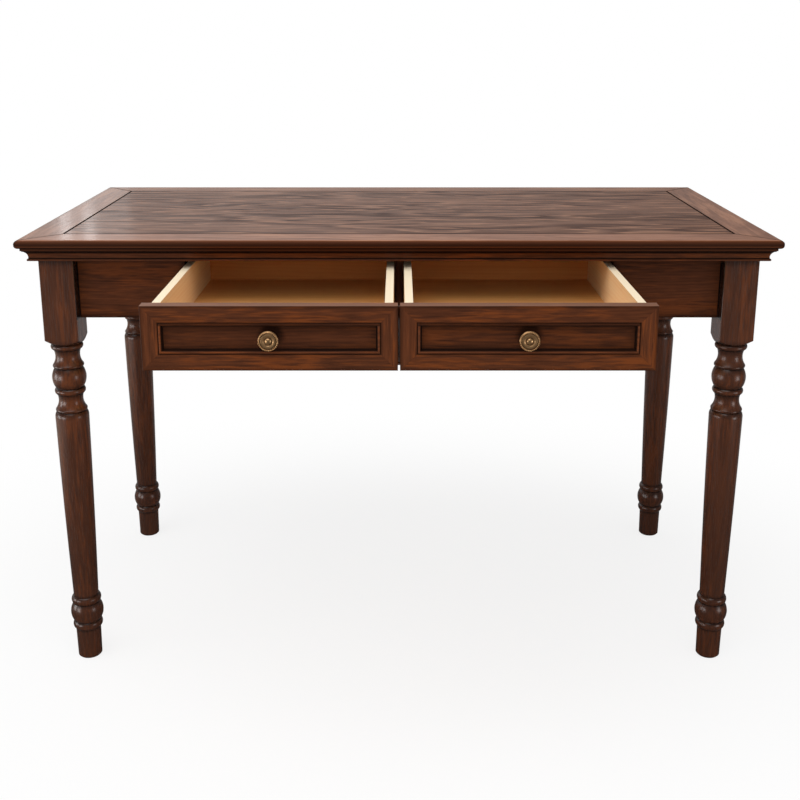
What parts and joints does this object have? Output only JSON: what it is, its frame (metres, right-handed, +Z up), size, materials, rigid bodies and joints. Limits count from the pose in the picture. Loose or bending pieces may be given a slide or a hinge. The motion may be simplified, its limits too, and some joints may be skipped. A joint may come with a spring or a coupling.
{
  "type": "writing desk",
  "caption": "Wooden writing desk on turned legs, with a framed top, a cove moulding and framed drawers that slide out side by side on wooden runners.",
  "frame": {"origin": "on the floor, under the middle of the top", "axes": "+X along the desk to the sitter's right, +Y from the drawer side to the back, +Z up"},
  "size_m": [1.22, 0.893, 0.762],
  "materials": {
    "stained_wood": "satin lacquer over dark stain",
    "drawer_wood": "thin clear finish on pale wood",
    "inner_wood": "bare planed wood",
    "knob_brass": "aged brass, rubbed on the high parts",
    "screw_steel": "zinc plated"
  },
  "bodies": {
    "desk": {"apron_back": "stained_wood", "apron_left": "stained_wood", "apron_right": "stained_wood", "corner_blocks": "inner_wood", "drawer_divider": "stained_wood", "drawer_kicker_centre": "inner_wood", "drawer_kicker_left": "inner_wood", "drawer_kicker_right": "inner_wood", "drawer_runner_centre": "inner_wood", "drawer_runner_left": "inner_wood", "drawer_runner_right": "inner_wood", "drawer_stop_rails": "inner_wood", "front_board_left": "stained_wood", "front_board_right": "stained_wood", "front_low_rail": "stained_wood", "front_top_rail": "stained_wood", "leg_back_left": "stained_wood", "leg_back_right": "stained_wood", "leg_front_left": "stained_wood", "leg_front_right": "stained_wood", "moulding_back": "stained_wood", "moulding_front": "stained_wood", "moulding_left": "stained_wood", "moulding_right": "stained_wood", "top_board_1": "stained_wood", "top_board_2": "stained_wood", "top_board_3": "stained_wood", "top_board_4": "stained_wood", "top_border_back": "stained_wood", "top_border_front": "stained_wood", "top_border_left": "stained_wood", "top_border_right": "stained_wood", "top_screws": "screw_steel"},
    "drawer_left": {"drawer_left_back": "drawer_wood", "drawer_left_bottom": "drawer_wood", "drawer_left_front_bead": "stained_wood", "drawer_left_front_bottom_rail": "stained_wood", "drawer_left_front_panel": "stained_wood", "drawer_left_front_stile_left": "stained_wood", "drawer_left_front_stile_right": "stained_wood", "drawer_left_front_top_rail": "stained_wood", "drawer_left_knob": "knob_brass", "drawer_left_knob_screw": "screw_steel", "drawer_left_side_left": "drawer_wood", "drawer_left_side_right": "drawer_wood", "drawer_left_stop": "drawer_wood"},
    "drawer_right": {"drawer_right_back": "drawer_wood", "drawer_right_bottom": "drawer_wood", "drawer_right_front_bead": "stained_wood", "drawer_right_front_bottom_rail": "stained_wood", "drawer_right_front_panel": "stained_wood", "drawer_right_front_stile_left": "stained_wood", "drawer_right_front_stile_right": "stained_wood", "drawer_right_front_top_rail": "stained_wood", "drawer_right_knob": "knob_brass", "drawer_right_knob_screw": "screw_steel", "drawer_right_side_left": "drawer_wood", "drawer_right_side_right": "drawer_wood", "drawer_right_stop": "drawer_wood"}
  },
  "joints": [
    {"name": "left_drawer_slide", "type": "slide", "parent": "desk", "child": "drawer_left", "axis": [0, -1, 0], "range_m": [-0.2955, 0.074]},
    {"name": "right_drawer_slide", "type": "slide", "parent": "desk", "child": "drawer_right", "axis": [0, -1, 0], "range_m": [-0.2955, 0.074]}
  ]
}
